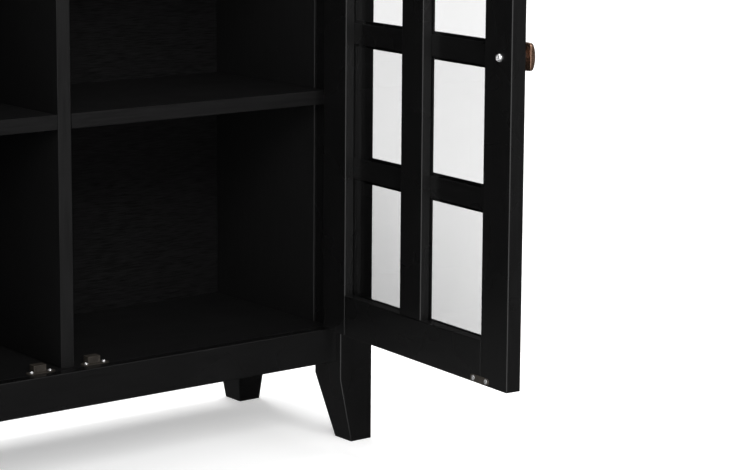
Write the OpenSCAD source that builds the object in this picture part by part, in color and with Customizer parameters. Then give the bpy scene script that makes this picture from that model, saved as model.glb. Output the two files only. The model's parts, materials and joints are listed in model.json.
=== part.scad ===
// Two-door glazed cabinet on tapered legs, with its doors standing open.
// X runs to the right, Y to the back and Z up, in millimetres. The origin is on the floor, below
// the middle of the box that holds the cabinet and its open doors.

/* [Case] */
// Width over the corner posts
case_w = 962.4; // [760:0.1:1300]
// Depth over the corner posts
case_d = 309; // [260:0.5:450]
// Height of the top surface above the floor
case_h = 1050; // [900:1:1250]
// Thickness of the top panel
top_t = 22; // [16:0.5:30]
// How far the top stands past the posts at the front and sides
top_overhang = 13.5; // [5:0.5:30]
// How far the top stands past the rear posts
top_back = 8; // [0:0.5:30]

/* [Posts and feet] */
// Width of a corner post
post_w = 56.2; // [48:0.1:75]
// Depth of a corner post
post_d = 59.5; // [45:0.5:80]
// Width of a foot where it meets the floor
foot_w = 36.5; // [25:0.5:45]
// Depth of a foot where it meets the floor
foot_d = 38; // [25:0.5:45]
// Height where the taper of the foot begins
taper_h = 92; // [60:1:110]

/* [Rails] */
// Height of the lower rails above the floor
rail_z = 117.3; // [112:0.1:150]
// Height of the lower rails from edge to edge
rail_h = 49.3; // [40:0.1:80]
// Thickness of the front and rear rails
rail_t = 16; // [14:0.5:20]
// How far rails and door faces lie behind the faces of the posts
setback = 9.3; // [8:0.1:14]
// Height of the rail above the doors
head_rail_h = 23; // [18:0.5:50]
// Height of the upper side rails
side_head_h = 50; // [30:1:90]
// Depth of the flat rail that holds the top at the back
stretcher_d = 45; // [30:1:80]

/* [Panels and shelves] */
// Thickness of the bottom panel, divider, shelves and rear top rail
board_t = 20; // [15:0.5:25]
// Thickness of the side panels
side_t = 18; // [12:0.5:22]
// How far the side panels stand inside the inner faces of the posts
side_step = 2.4; // [1:0.1:4]
// Thickness of the back panel
back_t = 5; // [3:0.5:9]
// How far the back panel lies in front of the rear faces of the posts
back_inset = 6; // [3:0.5:15]
// Clear height below the lower shelves
lower_clear_h = 313.4; // [200:0.1:420]
// Gap at each end of a shelf
shelf_play = 0.5; // [0.3:0.1:1.5]
// Gap behind a shelf
shelf_back_gap = 1; // [0.5:0.1:5]
// Distance of a shelf pin from the front and back of its shelf
pin_inset = 37; // [20:1:80]
// Gap between a closed door and what lies behind it
door_back_gap = 0.7; // [0.5:0.1:3]

/* [Doors] */
// Thickness of a door
door_t = 22; // [20:0.5:26]
// Gap between a closed door and its post
hinge_gap = 2; // [1.6:0.1:3]
// Gap between the two closed doors
meeting_gap = 3; // [2.4:0.1:5]
// Gap below a closed door
sill_gap = 3.4; // [3.4:0.1:6]
// Gap above a closed door
head_gap = 3; // [2:0.1:5]
// Width of the outer stiles
stile_w = 55; // [45:0.5:75]
// Width of the stile between the two columns of panes
mid_stile_w = 48; // [30:0.5:60]
// Height of the top and bottom rails of a door
door_rail_h = 56; // [45:0.5:80]
// Height of a muntin
muntin_h = 36.6; // [25:0.1:45]
// Spacing of the muntins from middle to middle
muntin_pitch = 183.7; // [140:0.1:200]
// Number of muntins one above the other
muntin_rows = 3; // [1:1:3]
// How far the outer faces of muntins and middle stile lie behind the face of the door
bar_recess = 2.5; // [0:0.1:3]
// Angle at which the doors stand open
door_open = 85.2; // [60:0.1:100]

/* [Glass] */
// Thickness of a pane
glass_t = 3; // [2:0.1:4]
// Depth of the panes below the inner face of the door
glass_inset = 13.5; // [12:0.1:14.5]
// Play of a pane in its groove, on each side
glass_play = 0.1; // [0.05:0.05:0.2]
// Depth of the groove around each opening
groove_d = 6; // [4:0.5:9]
// Gap between a tongue and the bottom of its groove
tongue_gap = 0.5; // [0.2:0.1:1]
// How far a pane reaches into the groove
glass_bite = 5; // [3:0.5:5.5]
// How far a pane laps over the back of a muntin
muntin_bite = 4; // [2:0.5:6]

/* [Hinges] */
// Number of hinges on a door
hinge_count = 3; // [2:1:4]
// Height of a hinge
hinge_h = 64; // [45:1:90]
// Distance from the end of a door to the middle of its nearest hinge
hinge_inset = 100; // [70:1:150]
// Length of a hinge leaf from the pin to its far edge
leaf_w = 21; // [16:0.5:21]
// Thickness of a hinge leaf
leaf_t = 1.6; // [1.2:0.1:1.6]
// Depth to which a leaf is let into the wood
leaf_recess = 1; // [0.9:0.1:1.3]
// How far the pin stands in front of the door face
pin_proud = 3; // [3:0.1:4]
// Radius of a hinge pin
pin_r = 1.25; // [1:0.05:1.5]
// Running clearance between the pin and the knuckles of the door leaf
pin_play = 0.05; // [0.02:0.01:0.1]
// Radius of a hinge knuckle
knuckle_r = 2.8; // [2.4:0.1:2.8]
// Number of knuckles along a hinge
knuckles = 5; // [3:2:5]
// Gap between moving parts of the hinge
hinge_clear = 0.4; // [0.3:0.1:0.6]

/* [Knob] */
// Width and height of the square knob
knob_w = 34.5; // [26:0.5:38]
// Distance from the free edge of the door to the middle of the knob
knob_inset = 24.5; // [20:0.5:30]
// Distance from the door face to the back of the knob head
knob_back = 12.5; // [6:0.5:15]
// Thickness of the knob head at its corners
knob_rim = 4.3; // [2:0.1:8]
// Height of the crown of the knob above its corners
knob_crown_h = 6.6; // [5:0.1:12]
// Radius of the neck of the knob
knob_neck_r = 7; // [5:0.5:10]
// Radius of the shank of the knob screw
knob_screw_r = 2; // [1.5:0.1:2.5]
// Radius of the head of the knob screw
knob_head_r = 5.2; // [4:0.1:6]
// Height of the head of the knob screw
knob_head_h = 3.8; // [2:0.1:4.5]

/* [Catch] */
// Distance from the middle of the cabinet to the middle of a catch
catch_x = 41; // [38:0.5:60]
// Distance from the middle of the cabinet to the middle of a closed strike plate
strike_x = 57; // [45:0.5:70]
// Height of the middle of the strike plate above the bottom of the door
strike_z = 5.7; // [5.5:0.1:20]
// Length of a strike plate
strike_l = 39; // [32:0.5:50]
// Distance from an end of a strike plate to its screw
strike_end = 6.5; // [5:0.1:9]
// Width of a strike plate
strike_w = 8.8; // [8:0.1:10]
// Thickness of a strike plate
strike_t = 0.8; // [0.6:0.1:2]
// Radius of the heads of the strike screws
strike_head_r = 3.2; // [2.5:0.1:3.8]
// Height of the heads of the strike screws
strike_head_h = 0.5; // [0.3:0.1:1]
// Gap between the strike screws of a closed door and the catch
strike_gap = 0.4; // [0.3:0.1:1]
// Width of the body of a catch
catch_w = 18.5; // [14:0.5:19]
// Depth of the body of a catch
catch_d = 12; // [8:0.5:16]
// Height of the body of a catch
catch_h = 9.4; // [8:0.1:16]
// Spacing of the screws in a catch
catch_pitch = 27; // [25:0.5:34]
// Thickness of the flange of a catch
flange_t = 1.2; // [0.8:0.1:1.4]
// Depth of the flange of a catch
flange_d = 14; // [8:0.5:16]

/* [Hidden] */

$fn = 48;
PAINT = [0.07, 0.07, 0.07];
INSIDE = [0.11, 0.11, 0.11];
RAW_WOOD = [0.72, 0.58, 0.4];
BRONZE = [0.42, 0.3, 0.24];
TAUPE = [0.36, 0.33, 0.29];
STEEL = [0.75, 0.75, 0.76];
MAGNET = [0.2, 0.2, 0.21];
GLASS = [0.85, 0.92, 0.94, 0.4];
over = 1; // how far a cutter stands past the face that it cuts

// Case: Y = 0 is the front plane of the posts here, until in_case() puts it in its place
inner_x = case_w / 2 - post_w;             // inner face of a post
outer_x = case_w / 2;                      // outer face of a post
post_h = case_h - top_t;                   // underside of the top
side_in = inner_x - side_step;             // inner face of a side panel
side_out = side_in + side_t;               // outer face of a side panel
deck_z = rail_z + rail_h;                  // upper face of the bottom panel
deck_under = deck_z - board_t;             // lower face of the bottom panel
inside_y = setback + door_t + door_back_gap; // front edges of divider and shelves
back_out = case_d - back_inset;            // rear face of the back panel
back_in = back_out - back_t;               // front face of the back panel
stretcher_y = back_in - stretcher_d;
stretcher_z = post_h - board_t;
lower_shelf_z = deck_z + lower_clear_h;    // underside of the lower shelves
upper_shelf_z = (lower_shelf_z + post_h) / 2; // underside of the upper shelves
divider_x = board_t / 2;

// Doors: U runs from the hinge edge, V from the outer face, Z from the bottom edge
door_w = inner_x - hinge_gap - meeting_gap / 2;
door_z = deck_z + sill_gap;
door_h = post_h - head_rail_h - head_gap - door_z;
opening_w = (door_w - 2 * stile_w - mid_stile_w) / 2;
mid_u = stile_w + opening_w;               // hinge-side edge of the middle stile
free_u = door_w - stile_w;                 // opening edge of the free stile
groove_v1 = door_t - glass_inset;
groove_v0 = groove_v1 - glass_t - 2 * glass_play;
column_u = [stile_w, mid_u + mid_stile_w]; // where each column of panes begins
tongue_l = groove_d - tongue_gap;
tongue_h_gap = 0.3;                        // how far a muntin tongue is narrower than its web

// Hinge: the pin stands in the middle of the gap
pin_x = inner_x - hinge_gap / 2;
pin_y = setback - pin_proud;
leaf_x0 = hinge_gap / 2 + leaf_recess - leaf_t; // from the pin to the near face of a leaf
leaf_x1 = hinge_gap / 2 + leaf_recess;
leaf_y0 = knuckle_r + hinge_clear;
knuckle_pitch = hinge_h / knuckles;
knuckle_l = knuckle_pitch - hinge_clear;
pin_head_r = knuckle_r - 0.4;
pin_head_h = 1.2;
hinge_screw_r = 1.6;
hinge_screw_head_r = 3.1;
hinge_screw_l = 16;
hinge_screw_pitch = hinge_h / 3;
mortise_play = 0.1;
relief_gap = 0.6;                          // air around a knuckle in its post

// Fasteners
wood_screw_r = 1.6;
pan_r = 3.5;
pan_h = 1.7;
small_screw_r = 1.5;
small_pan_r = 2.75;
small_pan_h = 1.4;
screw_bite = 12;                           // length of a screw in the piece that it holds
dowel_r = 4;
dowel_half = 13;
top_dowel_x = (side_out + outer_x) / 2;
top_dowel_y = post_d / 2;
top_dowel_bite = 12;
shelf_pin_r = 2.5;
shelf_peg_r = 3.5;
shelf_pin_bite = board_t * 0.4;
shelf_peg_l = 8;
pin_ys = [inside_y + pin_inset, back_in - pin_inset];
block_l = 45;                              // side of a triangular corner block
block_z = rail_z + 2;
block_screw_at = [0.25, 0.53];              // from the corner of a block, in parts of its side
top_screw_r = 2;
top_screw_head_r = 4;
top_screw_head_h = 2.2;
top_screw_at = [-0.78, -0.26, 0.26, 0.78]; // along the top rear rail, in parts of half its length
back_rows = 5;
back_edge = 45;                            // from the ends of the back panel to its screws
back_screw_at = [-0.7, -0.35, 0.35, 0.7];  // along the back panel, in parts of half its width
knob_thread = 12;                          // depth of the hole in the knob
tip_gap = 1;                               // from the tip of a screw to the end of its hole
knob_flare_r = knob_w * 0.33;
knob_corner_r = knob_w * 0.08;
knob_foot_r = knob_neck_r + 2;
strike_pitch = strike_l - 2 * strike_end;
catch_y = setback + door_t + strike_t + strike_head_h + strike_gap; // front of the body of a catch
catch_screw_y = catch_y - 1.3;             // middle of the flange
magnet_w = catch_w - 5;
magnet_d = 5;
magnet_floor = flange_t + 0.6;
magnet_h = catch_h - magnet_floor - 1.5;

// Place of the posts' front plane, so that the open cabinet is centred on Y = 0
function swung_y(p) = pin_y + (p[0] - pin_x) * sin(door_open) + (p[1] - pin_y) * cos(door_open);
free_x = inner_x - hinge_gap - door_w;
knob_low_x = free_x + knob_inset - knob_w / 2;
knob_h = knob_back + knob_rim + knob_crown_h;
knob_corner_at = knob_w / 2 - knob_corner_r; // middle of a rounded corner, along X and along Z
knob_reach = knob_corner_at * sqrt(2) + knob_corner_r;
knob_crown_r = (pow(knob_reach, 2) + pow(knob_crown_h, 2)) / (2 * knob_crown_h);
door_tips = [[free_x, setback], [free_x, setback + door_t], [knob_low_x, setback - knob_h]];
low_y = min([for (p = door_tips) swung_y(p)]);
high_y = case_d + top_back;
front_y = -(low_y + high_y) / 2;

// ---- shared shapes ----

// Box between two opposite corners
module block(lo, hi) {
    translate(lo) cube([hi[0] - lo[0], hi[1] - lo[1], hi[2] - lo[2]]);
}

// Round bar from p along +X or -X, +Y or -Y, +Z or -Z, given by dir
module bar(p, dir, r, l) {
    turn = dir[0] != 0 ? [0, 90 * dir[0], 0] : dir[1] != 0 ? [-90 * dir[1], 0, 0]
        : dir[2] < 0 ? [180, 0, 0] : [0, 0, 0];
    translate(p) rotate(turn) cylinder(r = r, h = l);
}

// Screw with a low round head. Its shank runs along dir from p, and its head lies behind p
module pan_screw(p, dir, r, l, head_r, head_h) {
    crown = (pow(head_r, 2) + pow(head_h, 2)) / (2 * head_h);
    turn = dir[0] != 0 ? [0, 90 * dir[0], 0] : dir[1] != 0 ? [-90 * dir[1], 0, 0]
        : dir[2] < 0 ? [180, 0, 0] : [0, 0, 0];
    translate(p) rotate(turn) {
        cylinder(r = r, h = l);
        intersection() {
            translate([0, 0, -head_h]) cylinder(r = head_r, h = head_h);
            translate([0, 0, crown - head_h]) sphere(r = crown);
        }
    }
}

// Screw with a sunk head. Its head is flush at p, and its shank runs along dir
module sunk_screw(p, dir, r, l, head_r, head_h) {
    turn = dir[0] != 0 ? [0, 90 * dir[0], 0] : [-90 * dir[1], 0, 0];
    translate(p) rotate(turn) {
        cylinder(r1 = head_r, r2 = r, h = head_h);
        cylinder(r = r, h = l);
    }
}

// Plate with round ends, standing on Z = 0
module stadium(pitch, w, t) {
    translate([-pitch / 2, -w / 2, 0]) cube([pitch, w, t]);
    for (s = [-1, 1]) translate([s * pitch / 2, 0, 0]) cylinder(r = w / 2, h = t);
}

module in_case() {
    translate([0, front_y, 0]) children();
}

module mirrored() {
    mirror([1, 0, 0]) children();
}

module both_sides() {
    children();
    mirrored() children();
}

// A right-hand door piece in its own U, V, Z, hung on the pin and swung open
module hung() {
    in_case() translate([pin_x, pin_y, 0]) rotate([0, 0, door_open]) translate([-pin_x, -pin_y, 0])
        translate([inner_x - hinge_gap, setback, door_z]) mirror([1, 0, 0]) children();
}

// ---- legs ----

// X runs from the inner to the outer face, Y from the outer face inwards
module leg_blank() {
    intersection() {
        translate([0, post_d, 0]) rotate([90, 0, 0]) linear_extrude(post_d)
            polygon([[post_w - foot_w, 0], [post_w, 0], [post_w, post_h], [0, post_h],
                [0, taper_h]]);
        rotate([90, 0, 90]) linear_extrude(post_w)
            polygon([[0, 0], [foot_d, 0], [post_d, taper_h], [post_d, post_h], [0, post_h]]);
    }
}

module front_leg() {
    difference() {
        translate([inner_x, 0, 0]) leg_blank();
        post_hinge_cuts();
        front_dowels();
        top_dowel(top_dowel_y);
    }
}

// The rear posts are cut back above the feet, so that side and back panels run past them
module rear_leg() {
    difference() {
        translate([inner_x, case_d, 0]) mirror([0, 1, 0]) leg_blank();
        block([inner_x - over, 0, rail_z], [side_out, case_d + over, post_h + over]);
        top_dowel(case_d - top_dowel_y);
    }
}

module leg_front_right() { color(PAINT) in_case() front_leg(); }
module leg_front_left() { color(PAINT) in_case() mirrored() front_leg(); }
module leg_rear_right() { color(PAINT) in_case() rear_leg(); }
module leg_rear_left() { color(PAINT) in_case() mirrored() rear_leg(); }

// ---- dowels ----

module top_dowel(y) {
    bar([top_dowel_x, y, post_h - dowel_half], [0, 0, 1], dowel_r, dowel_half + top_dowel_bite);
}

module front_dowels() {
    for (z = [rail_z + rail_h * 0.3, rail_z + rail_h * 0.7, post_h - head_rail_h / 2])
        bar([inner_x - dowel_half, setback + rail_t / 2, z], [1, 0, 0], dowel_r, 2 * dowel_half);
}

module dowel_set() {
    both_sides() {
        front_dowels();
        top_dowel(top_dowel_y);
        top_dowel(case_d - top_dowel_y);
    }
}

module dowels() { color(RAW_WOOD) in_case() dowel_set(); }

// ---- rails ----

module front_rail() {
    color(PAINT) in_case() difference() {
        block([-inner_x, setback, rail_z], [inner_x, setback + rail_t, deck_z]);
        dowel_set();
    }
}

module head_rail() {
    color(PAINT) in_case() difference() {
        block([-inner_x, setback, post_h - head_rail_h], [inner_x, setback + rail_t, post_h]);
        dowel_set();
    }
}

module rear_rail() {
    color(PAINT) in_case()
        block([-side_in, back_out - rail_t, rail_z], [side_in, back_out, deck_under]);
}

module stretcher_box(grow) {
    block([-side_in, stretcher_y, stretcher_z], [side_in, back_in + grow, post_h + grow]);
}

module top_rear_rail() {
    color(INSIDE) in_case() difference() {
        stretcher_box(0);
        top_screw_set();
        back_screw_set();
    }
}

module side_rail_shape(z, h) {
    block([side_out, post_d, z], [outer_x - setback, case_d - post_d, z + h]);
}

module side_rail_right() { color(PAINT) in_case() side_rail_shape(rail_z, rail_h); }
module side_rail_left() { color(PAINT) in_case() mirrored() side_rail_shape(rail_z, rail_h); }
module side_head_rail_right() {
    color(PAINT) in_case() side_rail_shape(post_h - side_head_h, side_head_h);
}
module side_head_rail_left() {
    color(PAINT) in_case() mirrored() side_rail_shape(post_h - side_head_h, side_head_h);
}

// ---- panels ----

module top_panel() {
    color(PAINT) in_case() difference() {
        block([-outer_x - top_overhang, -top_overhang, post_h],
            [outer_x + top_overhang, high_y, case_h]);
        dowel_set();
        top_screw_set();
    }
}

module side_panel() {
    difference() {
        block([side_in, post_d, rail_z], [side_out, back_in, post_h]);
        shelf_pin_set();
        back_screw_set();
    }
}

module side_panel_right() { color(INSIDE) in_case() side_panel(); }
module side_panel_left() { color(INSIDE) in_case() mirrored() side_panel(); }

module bottom_panel() {
    color(INSIDE) in_case() difference() {
        union() {
            block([-side_in, setback + rail_t, deck_under], [side_in, back_in, deck_z]);
            block([-inner_x, setback + rail_t, deck_under], [inner_x, post_d, deck_z]);
        }
        block_screw_set();
        catch_screw_set();
        back_screw_set();
    }
}

module center_divider() {
    color(INSIDE) in_case() difference() {
        block([-divider_x, inside_y, deck_z], [divider_x, back_in, post_h]);
        stretcher_box(over);
        shelf_pin_set();
        back_screw_set();
    }
}

module back_panel() {
    color(INSIDE) in_case() difference() {
        block([-side_out, back_in, deck_under], [side_out, back_out, post_h]);
        back_screw_set();
    }
}

// ---- shelves ----

module shelf(z) {
    block([divider_x + shelf_play, inside_y, z],
        [side_in - shelf_play, back_in - shelf_back_gap, z + board_t]);
}

module lower_shelf_right() { color(INSIDE) in_case() shelf(lower_shelf_z); }
module lower_shelf_left() { color(INSIDE) in_case() mirrored() shelf(lower_shelf_z); }
module upper_shelf_right() { color(INSIDE) in_case() shelf(upper_shelf_z); }
module upper_shelf_left() { color(INSIDE) in_case() mirrored() shelf(upper_shelf_z); }

// One pin in a wall whose face is at x, with its peg standing out along dir
module shelf_pin(x, y, z, dir) {
    bar([x, y, z], [-dir, 0, 0], shelf_pin_r, shelf_pin_bite);
    bar([x, y, z], [dir, 0, 0], shelf_peg_r, shelf_peg_l);
}

module shelf_pin_set() {
    both_sides() for (z = [lower_shelf_z, upper_shelf_z], y = pin_ys) {
        shelf_pin(divider_x, y, z - shelf_peg_r, 1);
        shelf_pin(side_in, y, z - shelf_peg_r, -1);
    }
}

module shelf_pins() { color(STEEL) in_case() shelf_pin_set(); }

// ---- corner blocks and case screws ----

// Triangular block in the corner at (x, y), reaching inwards along X and along dir in Y
module corner_block(x, y, dir) {
    translate([x, y, block_z]) linear_extrude(deck_under - block_z)
        polygon([[0, 0], [-block_l, 0], [0, dir * block_l]]);
}

module block_screw_pair(x, y, dir) {
    for (i = [0, 1])
        pan_screw([x - block_screw_at[i] * block_l, y + dir * block_screw_at[1 - i] * block_l,
            block_z], [0, 0, 1],
            wood_screw_r, deck_under - block_z + screw_bite, pan_r, pan_h);
}

module block_screw_set() {
    both_sides() {
        block_screw_pair(side_in, setback + rail_t, 1);
        block_screw_pair(side_in, back_out - rail_t, -1);
    }
}

module corner_blocks() {
    color(RAW_WOOD) in_case() difference() {
        both_sides() {
            corner_block(side_in, setback + rail_t, 1);
            corner_block(side_in, back_out - rail_t, -1);
        }
        block_screw_set();
    }
}

module block_screws() { color(STEEL) in_case() block_screw_set(); }

module top_screw_set() {
    for (x = top_screw_at * inner_x)
        pan_screw([x, back_in - stretcher_d / 2, stretcher_z], [0, 0, 1], top_screw_r,
            board_t + screw_bite, top_screw_head_r, top_screw_head_h);
}

module top_screws() { color(STEEL) in_case() top_screw_set(); }

// Screws of the back panel: up both sides and the divider, and along bottom panel and top rail
module back_screw_set() {
    z0 = deck_z + back_edge;
    z1 = post_h - back_edge;
    for (x = [-side_out + side_t / 2, 0, side_out - side_t / 2], i = [0 : back_rows - 1])
        pan_screw([x, back_out, z0 + (z1 - z0) * i / (back_rows - 1)], [0, -1, 0],
            small_screw_r, back_t + screw_bite, small_pan_r, small_pan_h);
    for (x = back_screw_at * inner_x, z = [deck_z, post_h])
        pan_screw([x, back_out, z - board_t / 2], [0, -1, 0],
            small_screw_r, back_t + screw_bite, small_pan_r, small_pan_h);
}

module back_screws() { color(STEEL) in_case() back_screw_set(); }

// ---- magnetic catches ----

module catch_screw_set() {
    both_sides() for (s = [-1, 1])
        pan_screw([catch_x + s * catch_pitch / 2, catch_screw_y, deck_z + flange_t], [0, 0, -1],
            small_screw_r, screw_bite, small_pan_r, small_pan_h);
}

module magnet_set() {
    both_sides() translate([catch_x - magnet_w / 2, catch_y, deck_z + magnet_floor])
        cube([magnet_w, magnet_d, magnet_h]);
}

module catch_bodies() {
    color(TAUPE) in_case() difference() {
        both_sides() {
            translate([catch_x, catch_screw_y, deck_z])
                stadium(catch_pitch, flange_d, flange_t);
            translate([catch_x - catch_w / 2, catch_y, deck_z]) cube([catch_w, catch_d, catch_h]);
        }
        magnet_set();
        catch_screw_set();
    }
}

module catch_magnets() { color(MAGNET) in_case() magnet_set(); }
module catch_screws() { color(STEEL) in_case() catch_screw_set(); }

// ---- hinges ----

function hinge_z(i) = hinge_inset + i * (door_h - 2 * hinge_inset) / (hinge_count - 1);

// Everything at a hinge is drawn about its pin, with the closed door on the side of -X
module each_hinge() {
    for (i = [0 : hinge_count - 1])
        translate([pin_x, pin_y, door_z + hinge_z(i)]) children();
}

// Leaf with its knuckles. s is 1 for the post leaf and -1 for the door leaf
module hinge_leaf(s, bore_r) {
    first = s > 0 ? 0 : 1;
    difference() {
        union() {
            mirror([s > 0 ? 0 : 1, 0, 0])
                block([leaf_x0, leaf_y0, -hinge_h / 2], [leaf_x1, leaf_w, hinge_h / 2]);
            for (k = [first : 2 : knuckles - 1])
                translate([0, 0, (k - knuckles / 2) * knuckle_pitch + hinge_clear / 2]) {
                    cylinder(r = knuckle_r, h = knuckle_l);
                    mirror([s > 0 ? 0 : 1, 0, 0])
                        block([leaf_x0, 0, 0], [leaf_x1, leaf_y0, knuckle_l]);
                }
        }
        translate([0, 0, -hinge_h]) cylinder(r = bore_r, h = 2 * hinge_h);
        leaf_screws(s);
    }
}

module leaf_screws(s) {
    for (i = [-1 : 1])
        sunk_screw([s * leaf_x0, (leaf_y0 + leaf_w) / 2, i * hinge_screw_pitch], [s, 0, 0],
            hinge_screw_r, hinge_screw_l, hinge_screw_head_r, leaf_t);
}

module hinge_pin() {
    translate([0, 0, -hinge_h / 2]) cylinder(r = pin_r, h = hinge_h);
    for (z = [-hinge_h / 2 - pin_head_h, hinge_h / 2])
        translate([0, 0, z]) cylinder(r = pin_head_r, h = pin_head_h);
}

// Seats for the leaves in the posts, with room for the knuckles
module post_hinge_cuts() {
    each_hinge() {
        translate([0, 0, -hinge_h / 2 - mortise_play])
            block([0, 0, 0], [leaf_x1, leaf_w + mortise_play, hinge_h + 2 * mortise_play]);
        translate([0, 0, -hinge_h / 2 - pin_head_h - relief_gap])
            cylinder(r = knuckle_r + relief_gap, h = hinge_h + 2 * (pin_head_h + relief_gap));
        leaf_screws(1);
    }
}

module post_hinge_leaves() {
    color(STEEL) in_case() both_sides() each_hinge() hinge_leaf(1, pin_r);
}

module hinge_pins() { color(STEEL) in_case() both_sides() each_hinge() hinge_pin(); }

module post_hinge_screws() {
    color(STEEL) in_case() both_sides() each_hinge() leaf_screws(1);
}

// The same hinges in a door's own U, V, Z
module door_hinges() {
    mirror([1, 0, 0]) translate([-inner_x + hinge_gap, -setback, -door_z]) each_hinge() children();
}

// ---- doors, drawn closed ----

// Tongue or groove in the plane of the glass
module glass_slot(u0, u1, z0, z1) {
    block([u0, groove_v0, z0], [u1, groove_v1, z1]);
}

module tongue(u0, u1, z0, z1) {
    block([u0, groove_v0 + glass_play, z0], [u1, groove_v1 - glass_play, z1]);
}

module hinge_stile() {
    difference() {
        block([0, 0, 0], [stile_w, door_t, door_h]);
        glass_slot(stile_w - groove_d, stile_w + over, -over, door_h + over);
        door_hinges() {
            translate([0, 0, -hinge_h / 2 - mortise_play])
                block([-leaf_x1, 0, 0], [0, leaf_w + mortise_play, hinge_h + 2 * mortise_play]);
            leaf_screws(-1);
        }
    }
}

module free_stile() {
    difference() {
        block([free_u, 0, 0], [door_w, door_t, door_h]);
        glass_slot(free_u - over, free_u + groove_d, -over, door_h + over);
        knob_screw_shape();
        strike_screw_pair();
    }
}

module mid_stile() {
    difference() {
        block([mid_u, bar_recess, door_rail_h],
            [mid_u + mid_stile_w, door_t, door_h - door_rail_h]);
        for (u = [mid_u - over, mid_u + mid_stile_w - groove_d])
            glass_slot(u, u + groove_d + over, 0, door_h);
    }
    for (z = [door_rail_h - tongue_l, door_h - door_rail_h])
        tongue(mid_u + groove_d, mid_u + mid_stile_w - groove_d, z, z + tongue_l);
}

// Door rail whose edge with the groove is at z, on the side given by dir
module door_rail(z0, groove_z) {
    difference() {
        union() {
            block([stile_w, 0, z0], [free_u, door_t, z0 + door_rail_h]);
            tongue(stile_w - tongue_l, free_u + tongue_l, z0, z0 + door_rail_h);
        }
        glass_slot(0, door_w, groove_z, groove_z + groove_d);
        strike_screw_pair();
    }
}

module top_rail() { door_rail(door_h - door_rail_h, door_h - door_rail_h); }
module bottom_rail() { door_rail(0, door_rail_h - groove_d); }

function muntin_z(i) = door_h / 2 + (i - (muntin_rows - 1) / 2) * muntin_pitch;

// A muntin has a wide outer lip and a narrower web, so that panes seat flush from inside
module muntin(u, z) {
    lip = muntin_h / 2;
    web = lip - muntin_bite - glass_play;
    block([u, bar_recess, z - lip], [u + opening_w, groove_v0, z + lip]);
    block([u, groove_v0, z - web], [u + opening_w, groove_v1, z + web]);
    tongue(u - tongue_l, u + opening_w + tongue_l, z - web + tongue_h_gap, z + web - tongue_h_gap);
}

module muntins() {
    for (u = column_u, i = [0 : muntin_rows - 1]) muntin(u, muntin_z(i));
}

// Lower and upper edge of the pane above muntin i - 1
function pane_low(i) = i == 0 ? door_rail_h - glass_bite
    : muntin_z(i - 1) + muntin_h / 2 - muntin_bite;
function pane_high(i) = i == muntin_rows ? door_h - door_rail_h + glass_bite
    : muntin_z(i) - muntin_h / 2 + muntin_bite;

module panes() {
    for (u = column_u, i = [0 : muntin_rows])
        block([u - glass_bite, groove_v0 + glass_play, pane_low(i)],
            [u + opening_w + glass_bite, groove_v1 - glass_play, pane_high(i)]);
}

// ---- knob ----

// Square prism with round corners, along -V from the door face
module knob_prism(from, to) {
    a = knob_corner_at;
    translate([0, -from, 0]) rotate([90, 0, 0]) linear_extrude(to - from) union() {
        square([knob_w, 2 * a], center = true);
        square([2 * a, knob_w], center = true);
        for (x = [-a, a], y = [-a, a]) translate([x, y]) circle(r = knob_corner_r);
    }
}

module knob() {
    translate([door_w - knob_inset, 0, door_h / 2]) difference() {
        union() {
            intersection() {
                knob_prism(knob_back, knob_h);
                translate([0, knob_crown_r - knob_h, 0]) rotate([90, 0, 0])
                    sphere(r = knob_crown_r);
            }
            rotate([90, 0, 0]) {
                cylinder(r1 = knob_foot_r, r2 = knob_neck_r, h = knob_back / 3);
                cylinder(r = knob_neck_r, h = knob_back);
                translate([0, 0, knob_back / 2])
                    cylinder(r1 = knob_neck_r, r2 = knob_flare_r, h = knob_back / 2);
            }
        }
        rotate([90, 0, 0]) translate([0, 0, -over])
            cylinder(r = knob_screw_r, h = knob_thread + over);
    }
}

module knob_screw_shape() {
    pan_screw([door_w - knob_inset, door_t, door_h / 2], [0, -1, 0], knob_screw_r,
        door_t + knob_thread - tip_gap, knob_head_r, knob_head_h);
}

// ---- strike plate ----

strike_u = inner_x - hinge_gap - strike_x;

module strike_screw_pair() {
    for (s = [-1, 1])
        pan_screw([strike_u + s * strike_pitch / 2, door_t + strike_t, strike_z], [0, -1, 0],
            wood_screw_r, strike_t + screw_bite, strike_head_r, strike_head_h);
}

module strike_plate() {
    difference() {
        translate([strike_u, door_t + strike_t, strike_z]) rotate([90, 0, 0])
            stadium(strike_l - strike_w, strike_w, strike_t);
        strike_screw_pair();
    }
}

// ---- door nodes ----

module right_hinge_stile() { color(PAINT) hung() hinge_stile(); }
module right_free_stile() { color(PAINT) hung() free_stile(); }
module right_mid_stile() { color(PAINT) hung() mid_stile(); }
module right_top_rail() { color(PAINT) hung() top_rail(); }
module right_bottom_rail() { color(PAINT) hung() bottom_rail(); }
module right_muntins() { color(PAINT) hung() muntins(); }
module right_glass() { color(GLASS) hung() panes(); }
module right_knob() { color(BRONZE) hung() knob(); }
module right_knob_screw() { color(STEEL) hung() knob_screw_shape(); }
module right_strike_plate() { color(TAUPE) hung() strike_plate(); }
module right_strike_screws() { color(STEEL) hung() strike_screw_pair(); }
module right_hinge_leaves() { color(STEEL) hung() door_hinges() hinge_leaf(-1, pin_r + pin_play); }
module right_hinge_screws() { color(STEEL) hung() door_hinges() leaf_screws(-1); }

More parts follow.
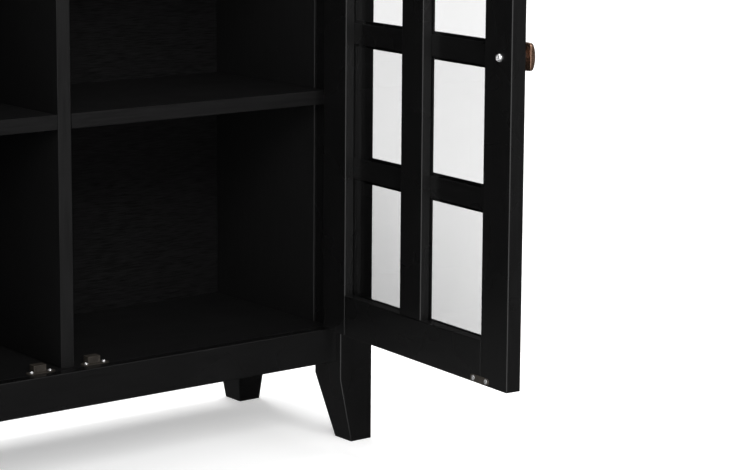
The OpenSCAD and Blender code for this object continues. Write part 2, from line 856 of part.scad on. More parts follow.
module left_hinge_stile() { mirrored() right_hinge_stile(); }
module left_free_stile() { mirrored() right_free_stile(); }
module left_mid_stile() { mirrored() right_mid_stile(); }
module left_top_rail() { mirrored() right_top_rail(); }
module left_bottom_rail() { mirrored() right_bottom_rail(); }
module left_muntins() { mirrored() right_muntins(); }
module left_glass() { mirrored() right_glass(); }
module left_knob() { mirrored() right_knob(); }
module left_knob_screw() { mirrored() right_knob_screw(); }
module left_strike_plate() { mirrored() right_strike_plate(); }
module left_strike_screws() { mirrored() right_strike_screws(); }
module left_hinge_leaves() { mirrored() right_hinge_leaves(); }
module left_hinge_screws() { mirrored() right_hinge_screws(); }

top_panel();
leg_front_left();
leg_front_right();
leg_rear_left();
leg_rear_right();
front_rail();
rear_rail();
head_rail();
top_rear_rail();
side_rail_left();
side_rail_right();
side_head_rail_left();
side_head_rail_right();
side_panel_left();
side_panel_right();
bottom_panel();
center_divider();
back_panel();
lower_shelf_left();
lower_shelf_right();
upper_shelf_left();
upper_shelf_right();
shelf_pins();
catch_bodies();
catch_magnets();
catch_screws();
post_hinge_leaves();
hinge_pins();
post_hinge_screws();
corner_blocks();
block_screws();
back_screws();
top_screws();
dowels();
left_hinge_stile();
left_free_stile();
left_mid_stile();
left_top_rail();
left_bottom_rail();
left_muntins();
left_glass();
left_knob();
left_knob_screw();
left_strike_plate();
left_strike_screws();
left_hinge_leaves();
left_hinge_screws();
right_hinge_stile();
right_free_stile();
right_mid_stile();
right_top_rail();
right_bottom_rail();
right_muntins();
right_glass();
right_knob();
right_knob_screw();
right_strike_plate();
right_strike_screws();
right_hinge_leaves();
right_hinge_screws();
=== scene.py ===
"""Finish, glass and small metal parts of a two-door glazed cabinet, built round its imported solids."""
import json
import math

import bmesh
import bpy
import numpy as np
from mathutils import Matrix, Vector


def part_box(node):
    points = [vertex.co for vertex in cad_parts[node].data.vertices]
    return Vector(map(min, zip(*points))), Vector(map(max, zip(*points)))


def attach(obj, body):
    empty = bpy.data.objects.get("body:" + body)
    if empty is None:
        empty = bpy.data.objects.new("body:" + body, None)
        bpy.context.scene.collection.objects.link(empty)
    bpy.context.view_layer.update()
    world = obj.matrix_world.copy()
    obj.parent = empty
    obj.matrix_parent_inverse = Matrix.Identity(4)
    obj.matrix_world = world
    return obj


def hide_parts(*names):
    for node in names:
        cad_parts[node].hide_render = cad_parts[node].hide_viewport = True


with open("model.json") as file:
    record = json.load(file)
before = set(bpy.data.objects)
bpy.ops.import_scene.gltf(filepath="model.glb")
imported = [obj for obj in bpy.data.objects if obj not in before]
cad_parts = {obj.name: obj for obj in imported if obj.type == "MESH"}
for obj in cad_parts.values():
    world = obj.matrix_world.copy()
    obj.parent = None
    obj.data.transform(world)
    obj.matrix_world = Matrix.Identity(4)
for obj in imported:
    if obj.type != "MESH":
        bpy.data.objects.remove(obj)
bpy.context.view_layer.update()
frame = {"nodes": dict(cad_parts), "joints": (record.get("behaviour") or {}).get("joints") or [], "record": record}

MM = 0.001
SIDES = ("left", "right")
NODES = frame["nodes"]
BODY_OF = {node: body for body, nodes in frame["record"]["behaviour"]["bodies"].items() for node in nodes}
JOINTS = {joint["name"]: joint for joint in frame["joints"]}


# ---- places ----

def opening_angle(side):
    """Angle about +Z, in radians, through which a closed door has turned to stand open as it does."""
    joint = JOINTS[side + "_door_hinge"]
    return -math.radians(joint["range_deg"][0]) * joint["axis"][2]


def turned(points, side, angle):
    """Points turned about the hinge pin of one door: p' = pin + R (p - pin), with R about +Z."""
    pin = np.array(JOINTS[side + "_door_hinge"]["pos_m"])
    cosine, sine = math.cos(angle), math.sin(angle)
    turn = np.array([[cosine, -sine, 0], [sine, cosine, 0], [0, 0, 1]])
    return (points - pin) @ turn.T + pin


def corners(mesh):
    """The corner points of a mesh as one array."""
    points = np.empty(len(mesh.vertices) * 3, np.float32)
    mesh.vertices.foreach_get("co", points)
    return points.reshape(-1, 3).astype(float)


def closed_box(node, side):
    """Lowest and highest corner of a door's CAD node, with that door closed."""
    shut = turned(corners(NODES[node].data), side, -opening_angle(side))
    return shut.min(0), shut.max(0)


# ---- meshes ----

def piece(name, mesh, material, node):
    """Makes a mesh an object that rides on its CAD node's body and stands for that node."""
    made = bpy.data.objects.new(name, mesh)
    bpy.context.scene.collection.objects.link(made)
    mesh.materials.clear()
    mesh.materials.append(material)
    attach(made, BODY_OF[node])
    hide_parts(node)
    return made


def ring_faces(rings, columns):
    """Quads between neighbouring closed rings: corner (i, j) joins (i, j+1), (i+1, j+1), (i+1, j)."""
    i, j = np.meshgrid(np.arange(rings - 1), np.arange(columns), indexing="ij")
    following = (j + 1) % columns
    quads = [i * columns + j, i * columns + following,
             (i + 1) * columns + following, (i + 1) * columns + j]
    return np.stack(quads, -1).reshape(-1, 4)


def ringed_mesh(name, shells, sharp):
    """One mesh from closed shells, each an array (rings, columns, 3) whose end rings are single points. Edges
    over the given angle, in degrees, are sharp."""
    points, faces, start = [], [], 0
    for shell in shells:
        rings, columns = shell.shape[:2]
        points.append(shell.reshape(-1, 3))
        faces.append(ring_faces(rings, columns) + start)
        start += rings * columns
    mesh = bpy.data.meshes.new(name)
    mesh.from_pydata(np.concatenate(points).tolist(), [], np.concatenate(faces).tolist())
    welded = bmesh.new()
    welded.from_mesh(mesh)
    bmesh.ops.remove_doubles(welded, verts=welded.verts, dist=1e-7)
    welded.to_mesh(mesh)
    welded.free()
    mesh.polygons.foreach_set("use_smooth", [True] * len(mesh.polygons))
    mesh.set_sharp_from_angle(angle=math.radians(sharp))
    return mesh


def across(axis):
    """Two unit vectors square to an axis and to each other, as a right-hand set with it."""
    axis = np.asarray(axis, float)
    helper = np.array([0.0, 0.0, 1.0]) if abs(axis[2]) < 0.9 else np.array([0.0, 1.0, 0.0])
    first = np.cross(helper, axis)
    first /= np.linalg.norm(first)
    return first, np.cross(axis, first)


FLAT = math.radians(0.2)        # faces within this angle are one flat face
CORNER = math.radians(30)       # edges sharper than this are arrises
LONG_EDGE = 80 * MM             # arrises as long as this are eased in full
SHORT_EASE = 0.2                # share of the easing that other arrises get
ON_FACE = 0.02 * MM


def eased(node, ease, material, box_edges_only=True, long_edge=LONG_EDGE):
    """The CAD solid with its arrises rounded: flat faces are made whole, and each convex edge gets a bevel
    weight, 1 if it is long and lies on two faces of the piece's box, and less if not."""
    side = node.split("_")[0]
    door = BODY_OF[node].endswith("_door")
    solid = bmesh.new()
    solid.from_mesh(NODES[node].data)
    bmesh.ops.remove_doubles(solid, verts=solid.verts, dist=1e-6)
    bmesh.ops.dissolve_limit(solid, angle_limit=FLAT, verts=solid.verts, edges=solid.edges)
    mesh = bpy.data.meshes.new(node + "_eased")
    solid.edges.ensure_lookup_table()
    angles = np.array([edge.calc_face_angle_signed(0) for edge in solid.edges])
    solid.to_mesh(mesh)
    solid.free()
    points = corners(mesh)
    if door:
        points = turned(points, side, -opening_angle(side))
    ends = np.empty(len(mesh.edges) * 2, np.int32)
    mesh.edges.foreach_get("vertices", ends)
    a, b = points[ends[0::2]], points[ends[1::2]]
    on_box = np.zeros(len(a), int)
    for limit in (points.min(0), points.max(0)):
        on_box += ((abs(a - limit) < ON_FACE) & (abs(b - limit) < ON_FACE)).sum(1)
    arris = angles > CORNER
    full = arris & (np.linalg.norm(b - a, axis=1) >= long_edge)
    if box_edges_only:
        full &= on_box >= 2
    weights = np.where(full, 1.0, np.where(arris, SHORT_EASE, 0.0))
    bevel = mesh.attributes.new("bevel_weight_edge", "FLOAT", "EDGE")
    bevel.data.foreach_set("value", weights.astype(np.float32))
    sharp = mesh.attributes.new("sharp_edge", "BOOLEAN", "EDGE")
    sharp.data.foreach_set("value", (abs(angles) > CORNER) & (weights == 0))
    mesh.polygons.foreach_set("use_smooth", [True] * len(mesh.polygons))
    made = piece(node + "_eased", mesh, material, node)
    rounding = made.modifiers.new("rounding", "BEVEL")
    rounding.limit_method = "WEIGHT"
    rounding.width = ease
    rounding.segments = 3
    rounding.use_clamp_overlap = False
    shading = made.modifiers.new("flat_faces_stay_flat", "WEIGHTED_NORMAL")
    shading.weight = 100
    shading.keep_sharp = True
    return made


# ---- materials ----

def new_material(name):
    """An empty node material with one Principled shader, and a short way to add and join its nodes."""
    material = bpy.data.materials.new(name)
    material.use_nodes = True
    tree = material.node_tree
    tree.nodes.clear()
    out = tree.nodes.new("ShaderNodeOutputMaterial")
    shader = tree.nodes.new("ShaderNodeBsdfPrincipled")
    tree.links.new(shader.outputs["BSDF"], out.inputs["Surface"])
    return material, tree, shader


def add(tree, kind, values=None, **links):
    """A node with values set on its sockets, and with each named socket joined to another's output."""
    made = tree.nodes.new(kind)
    for key, value in (values or {}).items():
        made.inputs[key].default_value = value
    for key, source in links.items():
        tree.links.new(source, made.inputs[key.replace("_", " ")])
    return made


def object_place(tree, turn=0.0, scale=(1, 1, 1)):
    """Object coordinates, turned back by a door's angle about Z, then scaled along the piece's own axes."""
    source = tree.nodes.new("ShaderNodeTexCoord").outputs["Object"]
    if turn:
        source = add(tree, "ShaderNodeMapping", {"Rotation": (0, 0, -turn)}, Vector=source).outputs["Vector"]
    return add(tree, "ShaderNodeMapping", {"Scale": scale}, Vector=source).outputs["Vector"]


def noise(tree, vector, scale, detail=3.0, roughness=0.5):
    """A grey noise from 0 to 1."""
    made = add(tree, "ShaderNodeTexNoise", {"Scale": scale, "Detail": detail, "Roughness": roughness},
               Vector=vector)
    return made.outputs["Fac"]


def ranged(tree, source, low, high, from_low=0.3, from_high=0.7):
    """A value mapped from one range to another, and held inside it."""
    made = add(tree, "ShaderNodeMapRange", {"From Min": from_low, "From Max": from_high,
                                            "To Min": low, "To Max": high}, Value=source)
    return made.outputs["Result"]


def blended(tree, factor, first, second):
    """A colour between two, by a factor."""
    made = tree.nodes.new("ShaderNodeMix")
    made.data_type = "RGBA"
    made.inputs["A"].default_value = (*first, 1)
    made.inputs["B"].default_value = (*second, 1)
    tree.links.new(factor, made.inputs["Factor"])
    return made.outputs["Result"]


def bumped(tree, shader, layers):
    """Bump nodes one after another, each from a height, a strength and a depth in metres."""
    normal = None
    for height, strength, depth in layers:
        made = add(tree, "ShaderNodeBump", {"Strength": strength, "Distance": depth}, Height=height)
        if normal is not None:
            tree.links.new(normal, made.inputs["Normal"])
        normal = made.outputs["Normal"]
    tree.links.new(normal, shader.inputs["Normal"])


# scale of the grain's noise along X, Y and Z: low along the board, high across it
GRAIN_ALONG = {"x": (16, 380, 380), "y": (380, 16, 380), "z": (380, 380, 16), "short x": (45, 380, 900)}
OUTSIDE = (0.0040, 0.0056)       # darkest and lightest of the paint on show
INSIDE = (0.0066, 0.0094)        # and of the flatter paint inside the case
VEINED = (0.0032, 0.0098)        # and of the back panel, where the grain shows most
paints = {}


def paint(along, turn=0.0, tones=OUTSIDE, grain=0.1, rough=0.26, gloss=0.5):
    """Black satin paint. Fine grain is drawn out along the board, faint orange peel lies over it, and the
    gloss and the black vary slowly from place to place."""
    key = (along, round(turn, 4), tones, grain, rough, gloss)
    if key in paints:
        return paints[key]
    material, tree, shader = new_material(f"black_satin_paint_{len(paints)}")
    even = object_place(tree, turn)
    grained = object_place(tree, turn, GRAIN_ALONG[along])
    streaks = noise(tree, grained, 1.0, 4.0, 0.6)
    cloud = noise(tree, even, 9.0, 2.0)
    peel = noise(tree, even, 1400.0, 1.0)
    dark, light = ((tone, tone * 0.985, tone) for tone in tones)
    tree.links.new(blended(tree, ranged(tree, streaks, 0, 1, 0.35, 0.65), dark, light),
                   shader.inputs["Base Color"])
    tree.links.new(ranged(tree, cloud, rough - 0.03, rough + 0.05), shader.inputs["Roughness"])
    shader.inputs["Specular IOR Level"].default_value = gloss
    bumped(tree, shader, [(streaks, grain, 0.05 * MM), (peel, 0.12, 0.02 * MM)])
    paints[key] = material
    return material


def inside_paint(along, tones=INSIDE, grain=0.4, rough=0.42, gloss=0.03):
    """The flatter paint of the boards inside the case."""
    return paint(along, tones=tones, grain=grain, rough=rough, gloss=gloss)


def metal(name, colour, lighter, rough, metallic=1.0):
    """Metal whose colour and gloss vary by a fine and a coarse noise."""
    material, tree, shader = new_material(name)
    place = object_place(tree)
    coarse = noise(tree, place, 120.0, 3.0)
    fine = noise(tree, place, 900.0, 2.0)
    tree.links.new(blended(tree, ranged(tree, coarse, 0, 1), colour, lighter), shader.inputs["Base Color"])
    tree.links.new(ranged(tree, fine, rough - 0.05, rough + 0.07), shader.inputs["Roughness"])
    shader.inputs["Metallic"].default_value = metallic
    bumped(tree, shader, [(fine, 0.15, 0.02 * MM)])
    return material


def raw_wood():
    """Pale bare wood with growth rings drawn out along X."""
    material, tree, shader = new_material("bare_pine")
    grained = object_place(tree, 0.0, (4, 60, 60))
    rings = noise(tree, grained, 1.0, 5.0, 0.6)
    colour = blended(tree, ranged(tree, rings, 0, 1), (0.5, 0.34, 0.19), (0.68, 0.52, 0.33))
    tree.links.new(colour, shader.inputs["Base Color"])
    shader.inputs["Roughness"].default_value = 0.7
    bumped(tree, shader, [(rings, 0.3, 0.1 * MM)])
    return material


def ramp(tree, source, stops):
    """A grey from a list of places, 0 to 1, and levels."""
    made = add(tree, "ShaderNodeValToRGB", Fac=source)
    elements = made.color_ramp.elements
    while len(elements) < len(stops):
        elements.new(0.5)
    for element, (place, level) in zip(elements, stops):
        element.position = place
        element.color = (level, level, level, 1)
    return made.outputs["Color"]


# height in metres, and how much of what lies behind a pane there shows through near the hinge and the free edge: a
# painted shade, deeper low down and by the hinge, that stands in for the dark cabinet mirrored in the glass
PAINTED_PANE_SHADE = ((0.23, 0.34, 0.49), (0.39, 0.46, 0.58), (0.415, 0.56, 0.63), (0.575, 0.58, 0.64),
             (0.60, 0.675, 0.715), (0.94, 0.71, 0.74))
FACE_ON_MIRROR = 0.04


def glass_with_painted_shade():
    """Flat glass: what lies behind it, darkened by a painted shade that is deeper low down and by the hinge and
    stands in for the dark cabinet mirrored in the glass, under a mirror image. The mirror's share is f + (1 - f) *
    facing^5, where f is its share face on, by Schlick's form of Fresnel's law."""
    material, tree, shader = new_material("glass_with_painted_shade")
    out = tree.nodes["Material Output"]
    place = object_place(tree)
    low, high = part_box("right_glass")
    parts = add(tree, "ShaderNodeSeparateXYZ", Vector=place)
    up = ranged(tree, parts.outputs["Z"], 0, 1, low.z, high.z)
    # the painted shade is laid on at both faces of a pane, so each takes the square root of the pane's level
    by_hinge, by_free_edge = (ramp(tree, up, [((row[0] - low.z) / (high.z - low.z), math.sqrt(row[end]))
                                              for row in PAINTED_PANE_SHADE]) for end in (1, 2))
    # painted shade of the panes, blended from the hinge side to the free edge
    painted_shade = tree.nodes.new("ShaderNodeMix")
    painted_shade.data_type = "RGBA"
    tree.links.new(ranged(tree, parts.outputs["Y"], 1, 0, low.y, high.y), painted_shade.inputs["Factor"])
    tree.links.new(by_hinge, painted_shade.inputs["A"])
    tree.links.new(by_free_edge, painted_shade.inputs["B"])
    clear = add(tree, "ShaderNodeBsdfTransparent", Color=painted_shade.outputs["Result"])
    mirror = add(tree, "ShaderNodeBsdfGlossy", {"Color": (1, 1, 1, 1), "Roughness": 0.02})
    facing = add(tree, "ShaderNodeLayerWeight", {"Blend": 0.5}).outputs["Facing"]
    steep = add(tree, "ShaderNodeMath", {1: 5.0})
    steep.operation = "POWER"
    tree.links.new(facing, steep.inputs[0])
    edge_on = ranged(tree, steep.outputs[0], FACE_ON_MIRROR, 1, 0, 1)
    mixed = tree.nodes.new("ShaderNodeMixShader")
    tree.links.new(edge_on, mixed.inputs[0])
    tree.links.new(clear.outputs["BSDF"], mixed.inputs[1])
    tree.links.new(mirror.outputs["BSDF"], mixed.inputs[2])
    tree.links.new(mixed.outputs["Shader"], out.inputs["Surface"])
    tree.nodes.remove(shader)
    return material


STEEL = metal("bright_zinc", (0.78, 0.78, 0.79), (0.9, 0.9, 0.91), 0.25, metallic=0.8)
DARK_STEEL = metal("dark_hinge_bronze", (0.05, 0.046, 0.042), (0.08, 0.073, 0.066), 0.4)
TAUPE = metal("catch_lacquer", (0.050, 0.043, 0.036), (0.072, 0.063, 0.053), 0.38, metallic=0.5)
KNOB_BRONZE = metal("knob_bronze", (0.34, 0.20, 0.135), (0.48, 0.30, 0.215), 0.25, metallic=0.93)
MAGNET = metal("magnet_face", (0.036, 0.031, 0.026), (0.055, 0.048, 0.041), 0.42, metallic=0.4)
PINE = raw_wood()
GLASS = glass_with_painted_shade()


# ---- painted boards ----

POST_EASE, RAIL_EASE, PANEL_EASE, TOP_EASE = 1.8 * MM, 1.6 * MM, 1.3 * MM, 2.5 * MM
DOOR_EASE, MUNTIN_EASE = 1.8 * MM, 0.9 * MM

for corner in ("front_left", "front_right", "rear_left", "rear_right"):
    eased("leg_" + corner, POST_EASE, paint("z"), box_edges_only=False)
for rail in ("front_rail", "rear_rail", "head_rail"):
    eased(rail, RAIL_EASE, paint("x"))
for side in SIDES:
    eased("side_rail_" + side, RAIL_EASE, paint("y"))
    eased("side_head_rail_" + side, RAIL_EASE, paint("y"))
    eased("side_panel_" + side, PANEL_EASE, inside_paint("z", rough=0.38, gloss=0.3))
    eased("lower_shelf_" + side, PANEL_EASE, inside_paint("x"))
    eased("upper_shelf_" + side, PANEL_EASE, inside_paint("x"))
eased("top_rear_rail", PANEL_EASE, paint("x"))
eased("bottom_panel", PANEL_EASE * SHORT_EASE, inside_paint("x"))
eased("center_divider", PANEL_EASE, inside_paint("z", grain=0.3, rough=0.36, gloss=0.3))
eased("back_panel", PANEL_EASE * SHORT_EASE, inside_paint("short x", tones=VEINED, grain=0.45))
eased("top_panel", TOP_EASE, paint("x", rough=0.5, gloss=0.15))

for side in SIDES:
    turn = opening_angle(side)
    for stile in ("hinge_stile", "free_stile", "mid_stile"):
        eased(f"{side}_{stile}", DOOR_EASE, paint("z", turn))
    for rail in ("top_rail", "bottom_rail"):
        eased(f"{side}_{rail}", DOOR_EASE, paint("x", turn))
    eased(f"{side}_muntins", MUNTIN_EASE, paint("x", turn), box_edges_only=False)


# ---- screws ----

SCREW_COLUMNS = 32
FULLNESS = 2.6                  # exponent p of the heads' profile: 2 is an ellipse, more is fuller
RECESS_DEPTH = 0.45             # depth, arm and half-width of the cross, as shares of the head's radius
RECESS_ARM = 0.62
RECESS_WIDTH = 0.2
RECESS_REACH = 0.85             # and no deeper than this share of the head
FIRST_TURN = 0.35               # angle of the first screw's cross in a group; each next one adds a radian


def cross_recess(x, y, arm, width):
    """Depth from 0 to 1 of a cross-shaped recess: the deeper of two bars, along X and along Y, whose depth
    falls off over the last 0.35 of their arm and the outer 0.45 of their half-width."""
    def bar(along, beside):
        lengthwise = np.clip((arm - abs(along)) / (0.35 * arm), 0, 1)
        sidewise = np.clip((width - abs(beside)) / (0.45 * width), 0, 1)
        return lengthwise * sidewise
    return np.maximum(bar(x, y), bar(y, x))


def screw(seat, out, shank_r, length, head_r, rise, sunk, turn):
    """Rings of one screw about its axis. The profile runs from the tip along the shank and out to the
    head's rim, and then over a full dome, (r / head)^p + (h / rise)^p = 1, less a cross recess."""
    seat, out = np.asarray(seat, float), np.asarray(out, float)
    first, second = across(out)
    angle = np.linspace(0, 2 * math.pi, SCREW_COLUMNS, endpoint=False)
    under = [(0, -length), (0.55 * shank_r, -length), (shank_r, -length + 2 * shank_r),
             (shank_r, -sunk), (head_r, -0.12 * sunk), (head_r, 0)]
    climb = np.linspace(0.12, math.pi / 2, 12)
    radius = np.concatenate([[r for r, _ in under], head_r * np.cos(climb) ** (2 / FULLNESS)])
    height = np.concatenate([[h for _, h in under], rise * np.sin(climb) ** (2 / FULLNESS)])
    x = radius[:, None] * np.cos(angle + turn)
    y = radius[:, None] * np.sin(angle + turn)
    cross = cross_recess(x, y, RECESS_ARM * head_r, RECESS_WIDTH * head_r)
    depth = min(RECESS_DEPTH * head_r, RECESS_REACH * (rise + sunk)) * cross
    depth[:len(under)] = 0
    level = height[:, None] - depth
    x, y = radius[:, None] * np.cos(angle), radius[:, None] * np.sin(angle)
    return seat + x[..., None] * first + y[..., None] * second + level[..., None] * out


def islands(node):
    """The corner points of each separate solid of a CAD node, one array for each."""
    solid = bmesh.new()
    solid.from_mesh(NODES[node].data)
    bmesh.ops.remove_doubles(solid, verts=solid.verts, dist=1e-6)
    solid.verts.index_update()
    left, found = set(solid.verts), []
    while left:
        island, edge_of = set(), [left.pop()]
        while edge_of:
            vertex = edge_of.pop()
            island.add(vertex)
            fresh = {edge.other_vert(vertex) for edge in vertex.link_edges} & left
            left -= fresh
            edge_of.extend(fresh)
        in_order = sorted(island, key=lambda vertex: vertex.index)
        found.append(np.array([vertex.co for vertex in in_order], float))
    solid.free()
    return sorted(found, key=lambda points: tuple(points.mean(0).round(4)))


def screws_on(node, out, rise, sunk, material=STEEL):
    """Screws in place of a CAD node's plain ones, with their heads facing out, a direction or a rule for it.
    A head that isn't sunk has its seat a rise below the solid's top. Length and radii are the solid's own."""
    shells = []
    for number, points in enumerate(islands(node)):
        direction = out(points) if callable(out) else np.asarray(out, float)
        along = points @ direction
        middle = points.mean(0)
        middle = middle - direction * (middle @ direction)
        distance = np.linalg.norm(points - direction * along[:, None] - middle, axis=1)
        head_r = distance.max()
        shank_r = distance[along < np.median([along.min(), along.max()])].max()
        top = along.max() - (0 if sunk else rise)
        shells.append(screw(middle + direction * top, direction, shank_r, top - along.min(), head_r,
                            rise, sunk, FIRST_TURN + number))
    return piece(node + "_recessed", ringed_mesh(node, shells, sharp=35.0), material, node)


def door_normal(side):
    """Unit vector out of a door's inner face, with the door as it stands."""
    angle = opening_angle(side)
    return np.array([-math.sin(angle), math.cos(angle), 0.0])


def door_edge_normal(side):
    """Unit vector from a door's hinge edge towards its post, with the door as it stands."""
    angle = opening_angle(side)
    reach = 1 if side == "right" else -1
    return reach * np.array([math.cos(angle), math.sin(angle), 0.0])


# node, the way that the heads face, the rise of their domes, and how deep they are sunk
screws_on("catch_screws", (0, 0, 1), 1.4 * MM, 0.0)
screws_on("block_screws", (0, 0, -1), 1.7 * MM, 0.0)
screws_on("top_screws", (0, 0, -1), 2.2 * MM, 0.0)
screws_on("back_screws", (0, 1, 0), 1.4 * MM, 0.0)
screws_on("post_hinge_screws", lambda points: np.array([-np.sign(points[:, 0].mean()), 0, 0]),
          0.15 * MM, 1.6 * MM, material=DARK_STEEL)
for side in SIDES:
    screws_on(f"{side}_hinge_screws", door_edge_normal(side), 0.15 * MM, 1.6 * MM, material=DARK_STEEL)
    screws_on(f"{side}_strike_screws", door_normal(side), 0.5 * MM, 0.0)
    screws_on(f"{side}_knob_screw", door_normal(side), 3.8 * MM, 0.0)


# ---- knobs ----

KNOB_COLUMNS = 96
SQUARE, ROUND = 9.0, 2.0        # exponents of the outline, from square with soft corners to round
KNOB_RIM = 4.3 * MM             # height of the head's sides
KNOB_CROWN = 6.6 * MM           # height of the crown over them
KNOB_SOFT = 1.0 * MM            # radius of the head's arrises
KNOB_NECK = 7 * MM
KNOB_FOOT = 9 * MM
FOOT_EDGE = 0.8 * MM            # height of the straight edge at the foot
FLARE = 0.66                    # half-width where the neck meets the head, as a share of the head's
CORNER_REACH = math.sqrt(2) * 0.84 + 0.16   # distance of the soft corner, in half-widths of the head


def outline(angle, power):
    """Radius of a superellipse |x|^p + |y|^p = 1 at an angle, a circle at p = 2 and nearly a square at 9."""
    return (abs(np.cos(angle)) ** power + abs(np.sin(angle)) ** power) ** (-1 / power)


def knob(side):
    """Rings of a half-width carried round an outline that turns from round at the neck to square at the
    head. The sides rise to a spherical crown, height = total - R + sqrt(R^2 - r^2), cut off square."""
    low, high = closed_box(side + "_knob", side)
    total, half = high[1] - low[1], (high[2] - low[2]) / 2
    middle = np.array([(low[0] + high[0]) / 2, high[1], (low[2] + high[2]) / 2])
    soft, neck, foot, flare = KNOB_SOFT, KNOB_NECK, KNOB_FOOT, half * FLARE
    back = total - KNOB_RIM - KNOB_CROWN
    radius = ((half * CORNER_REACH) ** 2 + KNOB_CROWN ** 2) / (2 * KNOB_CROWN)
    quarter = np.linspace(0, math.pi / 2, 6)
    # each row: half-width, height, share of the way from there up to the crown, drop below it, exponent
    rows = [(0, 0, 0, 0, ROUND), (foot, 0, 0, 0, ROUND), (foot, FOOT_EDGE, 0, 0, ROUND)]
    rows += [(neck + (foot - neck) * (1 - math.sin(a)), FOOT_EDGE + 0.35 * back * (1 - math.cos(a)), 0, 0,
              ROUND) for a in quarter[1:]]
    rows += [(neck + (flare - neck) * (1 - math.cos(a)), 0.5 * back * (1 + math.sin(a)), 0, 0, ROUND)
             for a in quarter]
    rows += [(flare + (half - soft - flare) * t, back, 0, 0, power) for t, power in ((0.35, 3.0), (0.7, 6.0))]
    rows += [(half - soft + soft * math.sin(a), back + soft * (1 - math.cos(a)), 0, 0, SQUARE)
             for a in quarter]
    rows += [(half, back + soft, t, soft, SQUARE) for t in (0.33, 0.66)]
    rows += [(half - soft + soft * math.cos(a), 0, 1, soft * (1 - math.sin(a)), SQUARE) for a in quarter]
    rows += [((half - soft) * t, 0, 1, 0, SQUARE) for t in np.linspace(1, 0, 20)[1:]]
    width, level, share, drop, power = (np.array(column)[:, None] for column in zip(*rows))
    angle = np.linspace(0, 2 * math.pi, KNOB_COLUMNS, endpoint=False)[None, :]
    reach = width * outline(angle, power)
    top = total - radius + np.sqrt(radius ** 2 - reach ** 2) - drop
    height = (1 - share) * level + share * top
    points = middle + np.stack([reach * np.cos(angle), -height, reach * np.sin(angle)], -1)
    shape = points.shape
    points = turned(points.reshape(-1, 3), side, opening_angle(side)).reshape(shape)
    return piece(side + "_cast_knob", ringed_mesh("knob", [points], sharp=60.0), KNOB_BRONZE, side + "_knob")


# ---- strike plates and catches ----

def strike_plate(side):
    """A thin plate with round ends, its front arris rounded: rings of a stadium, drawn in as they rise."""
    low, high = closed_box(side + "_strike_plate", side)
    half_long, half_high = (high[0] - low[0]) / 2, (high[2] - low[2]) / 2
    thick, soft = high[1] - low[1], 0.45 * MM
    quarter = np.linspace(0, math.pi / 2, 4)
    rows = [(half_high, 0), (0, 0)]
    rows += [(soft * (1 - math.cos(a)), thick - soft + soft * math.sin(a)) for a in quarter]
    rows += [(half_high, thick)]
    angle = np.linspace(0, 2 * math.pi, 64, endpoint=False)
    straight = (half_long - half_high) * np.sign(np.cos(angle))
    shells = []
    for inset, level in rows:
        reach = half_high - inset
        x = straight * (1 if reach > 0 else 0) + reach * np.cos(angle)
        shells.append(np.stack([(low[0] + high[0]) / 2 + x, np.full_like(x, low[1] + level),
                                (low[2] + high[2]) / 2 + reach * np.sin(angle)], -1))
    points = np.array(shells)
    shape = points.shape
    points = turned(points.reshape(-1, 3), side, opening_angle(side)).reshape(shape)
    mesh = ringed_mesh("strike_plate", [points], sharp=35.0)
    return piece(side + "_pressed_strike_plate", mesh, TAUPE, side + "_strike_plate")


for side in SIDES:
    knob(side)
    strike_plate(side)
eased("catch_bodies", 0.35 * MM, TAUPE, box_edges_only=False, long_edge=6 * MM)

# CAD solids that keep their shape and get a finish
PLAIN_NODES = {"catch_magnets": MAGNET, "post_hinge_leaves": DARK_STEEL, "hinge_pins": DARK_STEEL,
               "left_hinge_leaves": DARK_STEEL, "right_hinge_leaves": DARK_STEEL, "shelf_pins": DARK_STEEL,
               "corner_blocks": PINE, "dowels": PINE, "left_glass": GLASS, "right_glass": GLASS}
for node, material in PLAIN_NODES.items():
    slots = NODES[node].data.materials
    slots.clear()
    slots.append(material)


# ---- floor, light and camera ----

FLOOR_HALF = 30.0               # metres from the middle of the floor to its sides


def floor():
    """A plain pale floor, one large flat square. It glows a little, and glossy surfaces don't mirror it."""
    mesh = bpy.data.meshes.new("floor")
    outer = [(x * FLOOR_HALF, y * FLOOR_HALF, 0) for x, y in ((-1, -1), (1, -1), (1, 1), (-1, 1))]
    mesh.from_pydata(outer, [], [(0, 1, 2, 3)])
    made = bpy.data.objects.new("studio_floor", mesh)
    bpy.context.scene.collection.objects.link(made)
    material, tree, shader = new_material("pale_floor")
    cloud = noise(tree, object_place(tree), 0.7, 2.0)
    tree.links.new(blended(tree, cloud, (0.86, 0.86, 0.86), (0.88, 0.88, 0.88)), shader.inputs["Base Color"])
    shader.inputs["Roughness"].default_value = 0.9
    shader.inputs["Specular IOR Level"].default_value = 0.1
    shader.inputs["Emission Color"].default_value = (1, 1, 1, 1)
    shader.inputs["Emission Strength"].default_value = 0.44
    mesh.materials.append(material)
    made.visible_glossy = False


def aim(made, place, target):
    """Puts a light or camera at a place, looking at a target."""
    made.location = place
    made.rotation_euler = (Vector(target) - Vector(place)).to_track_quat("-Z", "Y").to_euler()
    bpy.context.scene.collection.objects.link(made)
    return made


def softbox(name, place, target, width, height, power):
    """A rectangular soft light."""
    lamp = bpy.data.lights.new(name, "AREA")
    lamp.shape = "RECTANGLE"
    lamp.size, lamp.size_y = width, height
    lamp.energy = power
    return aim(bpy.data.objects.new(name, lamp), place, target)


def overhead(name, place, strength, spread):
    """A broad light from far away, as a sun lamp."""
    lamp = bpy.data.lights.new(name, "SUN")
    lamp.energy = strength
    lamp.angle = math.radians(spread)
    return aim(bpy.data.objects.new(name, lamp), place, (0, 0, 0))


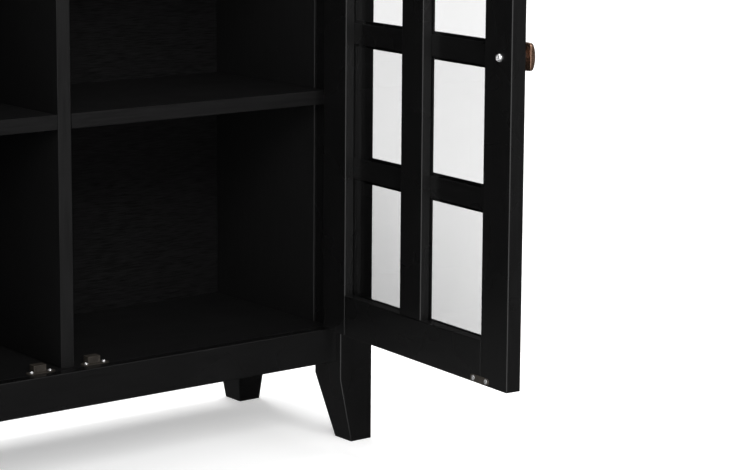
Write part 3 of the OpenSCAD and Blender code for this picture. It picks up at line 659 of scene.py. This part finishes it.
def sky(lobes):
    """White light from all round, as a soft tent. Each lobe adds strength * max(0, cos a)^narrow, where a is
    the angle from the lobe's own direction."""
    world = bpy.data.worlds.new("studio_tent")
    world.use_nodes = True
    tree = world.node_tree
    direction = tree.nodes.new("ShaderNodeTexCoord").outputs["Generated"]
    total = None
    for toward, strength, narrow in lobes:
        cosine = add(tree, "ShaderNodeVectorMath", {1: Vector(toward).normalized()})
        cosine.operation = "DOT_PRODUCT"
        tree.links.new(direction, cosine.inputs[0])
        shaped = add(tree, "ShaderNodeMath", {1: narrow})
        shaped.operation = "POWER"
        tree.links.new(ranged(tree, cosine.outputs["Value"], 0, 1, 0, 1), shaped.inputs[0])
        summed = add(tree, "ShaderNodeMath", {1: strength, 2: 0.0})
        summed.operation = "MULTIPLY_ADD"
        tree.links.new(shaped.outputs[0], summed.inputs[0])
        if total is not None:
            tree.links.new(total, summed.inputs[2])
        total = summed.outputs[0]
    tree.links.new(total, tree.nodes["Background"].inputs["Strength"])
    tree.nodes["Background"].inputs["Color"].default_value = (1, 1, 1, 1)
    bpy.context.scene.world = world


CAMERA_PLACE = (-1.5039, -2.4224, 0.8964)
CAMERA_TILT = 8.8377            # degrees below level
CAMERA_TURN = -36.144           # degrees about +Z from facing +Y
FOCAL_LENGTH = 110.07           # millimetres, over a sensor 36 mm wide
SHIFT = (0.1412, -0.1038)       # of the lens, in widths of the picture
# direction, strength and narrowness of each lobe of the tent
LOBES = [((-0.50, -0.62, 0.60), 1.3, 2), ((-0.80, -0.55, -0.05), 2.1, 12), ((0, 1, 0.2), 0.15, 2)]

floor()
overhead("top_light", (0.0, 0.15, 4.0), 0.8, 5)
overhead("broad_top_light", (0.0, 1.2, 4.0), 1.3, 25)
softbox("front_light", (-0.8, -3.6, 3.0), (0.0, 0.0, 0.4), 3.6, 1.6, 140)
sky(LOBES)
bpy.context.scene.view_settings.view_transform = "Standard"

lens = bpy.data.cameras.new("camera")
lens.sensor_width = 36
lens.lens = FOCAL_LENGTH
lens.shift_x, lens.shift_y = SHIFT
lens.clip_start, lens.clip_end = 0.05, 200
camera = bpy.data.objects.new("camera", lens)
camera.location = CAMERA_PLACE
camera.rotation_euler = (math.radians(90 - CAMERA_TILT), 0, math.radians(CAMERA_TURN))
bpy.context.scene.collection.objects.link(camera)
bpy.context.scene.camera = camera
